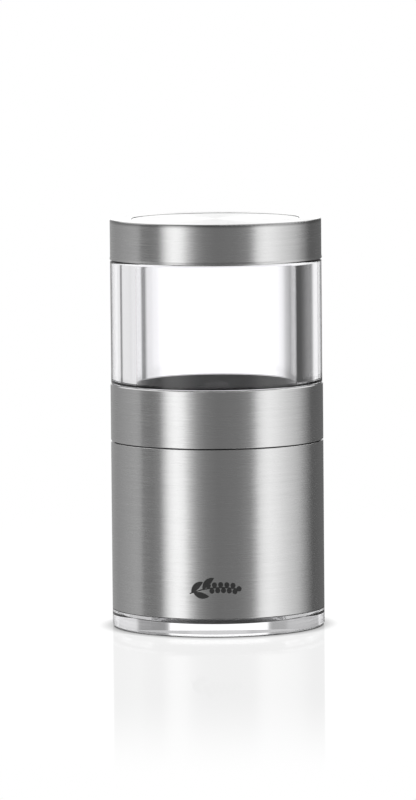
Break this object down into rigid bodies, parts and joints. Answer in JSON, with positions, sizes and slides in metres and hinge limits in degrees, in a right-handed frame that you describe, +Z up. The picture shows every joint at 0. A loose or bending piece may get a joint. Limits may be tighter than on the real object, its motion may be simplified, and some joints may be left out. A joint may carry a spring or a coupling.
{
  "type": "pepper mill",
  "caption": "Short cylindrical pepper mill: clear hopper tube between a brushed-steel lid and a turning steel grip, with a ceramic grinder above a clear foot cap.",
  "frame": {"origin": "centre of the foot cap's underside, on the surface the mill stands on", "axes": "+Z up along the mill's axis, through the lid; +X and +Y across it"},
  "size_m": [0.06, 0.06, 0.1153],
  "materials": {
    "brushed_steel": "brushed round the axis, satin",
    "plain_steel": "plain bright stainless",
    "brass": "turned",
    "clear_acrylic": "polished clear acrylic",
    "dark_plastic": "satin black moulded plastic",
    "lid_plastic": "satin moulded plastic",
    "glide_plastic": "smooth acetal",
    "seal": "matt silicone",
    "grinder_ceramic": "matt fired ceramic"
  },
  "bodies": {
    "lid": {"lid_shell": "brushed_steel", "lid_top_disc": "brushed_steel", "lid_liner": "lid_plastic", "lid_seal": "seal"},
    "upper_body": {"hopper_tube": "clear_acrylic", "tube_gasket": "seal", "collar_ring": "brushed_steel", "hopper_base": "dark_plastic", "swivel_ring": "dark_plastic", "swivel_screws": "plain_steel", "drive_shaft": "plain_steel", "shaft_washer": "plain_steel", "shaft_nut": "plain_steel", "feed_paddle": "dark_plastic", "thrust_washer": "plain_steel"},
    "cone": {"grinding_cone": "grinder_ceramic", "cone_carrier": "dark_plastic", "pressure_spring": "plain_steel"},
    "knob": {"adjust_knob": "dark_plastic", "knob_insert": "brass"},
    "lower_body": {"lower_sleeve": "brushed_steel", "inner_housing": "dark_plastic", "glide_ring": "glide_plastic", "stator_ring": "grinder_ceramic", "stator_clamp": "dark_plastic", "clamp_screws": "plain_steel"},
    "foot_cap": {"foot_cap": "clear_acrylic", "cap_seal": "seal"}
  },
  "joints": [
    {"name": "lid_lift", "type": "slide", "parent": "upper_body", "child": "lid", "axis": [0, 0, 1], "range_m": [0, 0.03]},
    {"name": "grind_turn", "type": "hinge", "parent": "lower_body", "child": "upper_body", "pos_m": [0, 0, 0.05271], "axis": [0, 0, 1], "continuous": true},
    {"name": "cone_lift", "type": "slide", "parent": "upper_body", "child": "cone", "axis": [0, 0, 1], "range_m": [0, 0.001], "deforming": ["pressure_spring"]},
    {"name": "knob_turn", "type": "hinge", "parent": "cone", "child": "knob", "pos_m": [0, 0, 0.01095], "axis": [0, 0, 1], "range_deg": [0, 450]},
    {"name": "cap_pull", "type": "slide", "parent": "lower_body", "child": "foot_cap", "axis": [0, 0, -1], "range_m": [0, 0.02]}
  ],
  "couplings": [
    {"joint": "knob_turn", "follows": "cone_lift", "rad_per_m": 7854}
  ]
}
